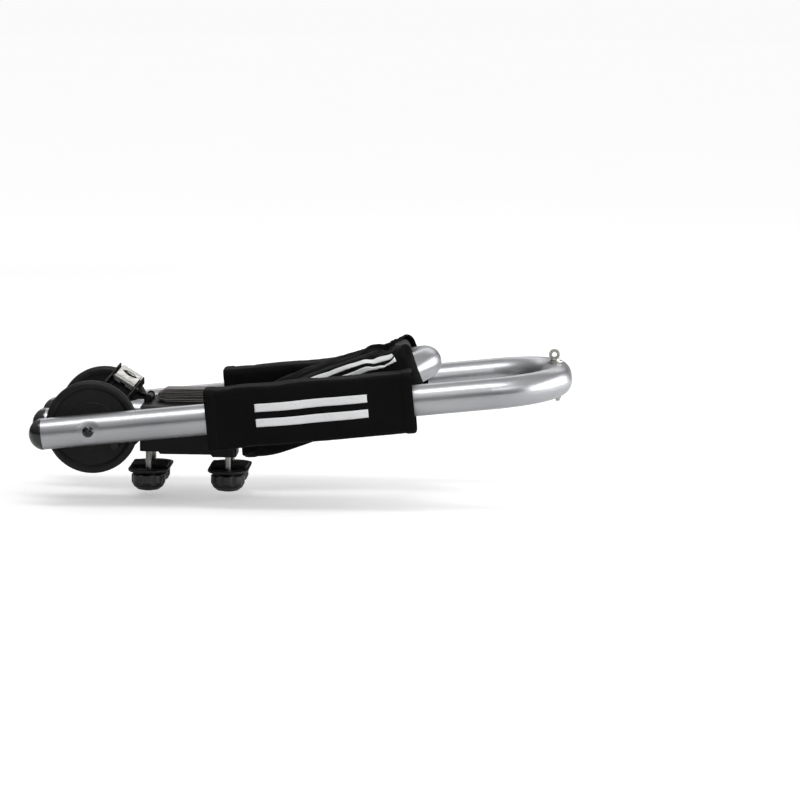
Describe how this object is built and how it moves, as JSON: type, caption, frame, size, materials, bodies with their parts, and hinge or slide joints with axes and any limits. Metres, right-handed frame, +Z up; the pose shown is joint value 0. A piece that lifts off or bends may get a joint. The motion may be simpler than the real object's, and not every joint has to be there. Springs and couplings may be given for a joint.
{
  "type": "folding boat carrier for a roof crossbar",
  "caption": "Folding J-shaped boat carrier: a padded tube arm hinges flat over a shorter curved padded arm on a crossbar clamp with hand knobs.",
  "frame": {"origin": "centre of the base pad's underside, where it rests on the top of the crossbar, midway between the four clamp bolts", "axes": "+X along the crossbar, from the hinge end towards the free end of the arms; +Y across the crossbar; +Z up"},
  "size_m": [0.5564, 0.211, 0.1612],
  "materials": {
    "tube": "satin",
    "cap_black": "glossy",
    "base_black": "matt moulded",
    "disc_charcoal": "matt",
    "pad_cloth": "woven, matt",
    "foam": "closed-cell foam",
    "rubber": "matt",
    "zinc_steel": "bright zinc",
    "black_steel": "black",
    "plate_black": "black, satin",
    "knob_black": "satin gloss",
    "brass": "turned",
    "nylon": "plain",
    "webbing": "woven webbing",
    "buckle_steel": "polished"
  },
  "bodies": {
    "base": {"inner_arm": "tube", "inner_end_caps": "cap_black", "hinge_disc_front": "disc_charcoal", "hinge_disc_rear": "disc_charcoal", "pivot_bolts": "black_steel", "pivot_bushes": "nylon", "pivot_washers": "nylon", "spacer_sleeves": "zinc_steel", "nut_washers": "zinc_steel", "pivot_nuts": "zinc_steel", "stop_pins": "black_steel", "disc_screws": "black_steel", "inner_foam_front": "foam", "inner_foam_rear": "foam", "inner_cover_front": "pad_cloth", "inner_cover_rear": "pad_cloth", "base_saddle": "base_black", "base_cap": "base_black", "base_pad": "rubber", "cap_screws": "black_steel", "clamp_bolts": "zinc_steel", "anchor_bar": "black_steel", "strap_bundle": "webbing", "strap_loop": "webbing", "buckle_frame": "buckle_steel", "buckle_pin": "zinc_steel", "buckle_spring": "zinc_steel"},
    "folding_arm": {"outer_arm": "tube", "outer_end_caps": "cap_black", "outer_foam_front": "foam", "outer_foam_rear": "foam", "outer_cover_front": "pad_cloth", "outer_cover_rear": "pad_cloth", "strap_eye": "zinc_steel", "eye_washer": "zinc_steel", "eye_nut": "zinc_steel"},
    "clamp_left": {"clamp_plate_left": "plate_black", "plate_liner_left": "rubber"},
    "clamp_right": {"clamp_plate_right": "plate_black", "plate_liner_right": "rubber"},
    "cam_lever": {"buckle_cam": "buckle_steel"},
    "knob_left_front": {"knob_left_front": "knob_black", "knob_insert_left_front": "brass"},
    "knob_left_rear": {"knob_left_rear": "knob_black", "knob_insert_left_rear": "brass"},
    "knob_right_front": {"knob_right_front": "knob_black", "knob_insert_right_front": "brass"},
    "knob_right_rear": {"knob_right_rear": "knob_black", "knob_insert_right_rear": "brass"}
  },
  "joints": [
    {"name": "arm_fold", "type": "hinge", "parent": "base", "child": "folding_arm", "pos_m": [-0.096, 0, 0.02], "axis": [0, -1, 0], "range_deg": [0, 100]},
    {"name": "cam_open", "type": "hinge", "parent": "base", "child": "cam_lever", "pos_m": [-0.06796, -0.0094, 0.0603], "axis": [0.8407, -0.2756, -0.466], "range_deg": [0, 80]},
    {"name": "clamp_left_drop", "type": "slide", "parent": "base", "child": "clamp_left", "axis": [0, 0, -1], "range_m": [0, 0.01]},
    {"name": "knob_left_front_turn", "type": "hinge", "parent": "clamp_left", "child": "knob_left_front", "pos_m": [-0.04125, -0.027, -0.04], "axis": [0, 0, -1], "range_deg": [0, 3600]},
    {"name": "knob_left_rear_turn", "type": "hinge", "parent": "clamp_left", "child": "knob_left_rear", "pos_m": [-0.04125, 0.027, -0.04], "axis": [0, 0, -1], "range_deg": [0, 3600]},
    {"name": "clamp_right_drop", "type": "slide", "parent": "base", "child": "clamp_right", "axis": [0, 0, -1], "range_m": [0, 0.01]},
    {"name": "knob_right_front_turn", "type": "hinge", "parent": "clamp_right", "child": "knob_right_front", "pos_m": [0.04125, -0.027, -0.04], "axis": [0, 0, -1], "range_deg": [0, 3600]},
    {"name": "knob_right_rear_turn", "type": "hinge", "parent": "clamp_right", "child": "knob_right_rear", "pos_m": [0.04125, 0.027, -0.04], "axis": [0, 0, -1], "range_deg": [0, 3600]}
  ],
  "couplings": [
    {"joint": "knob_left_front_turn", "follows": "clamp_left_drop", "rad_per_m": 6283.2},
    {"joint": "knob_left_rear_turn", "follows": "clamp_left_drop", "rad_per_m": 6283.2},
    {"joint": "knob_right_front_turn", "follows": "clamp_right_drop", "rad_per_m": 6283.2},
    {"joint": "knob_right_rear_turn", "follows": "clamp_right_drop", "rad_per_m": 6283.2}
  ]
}
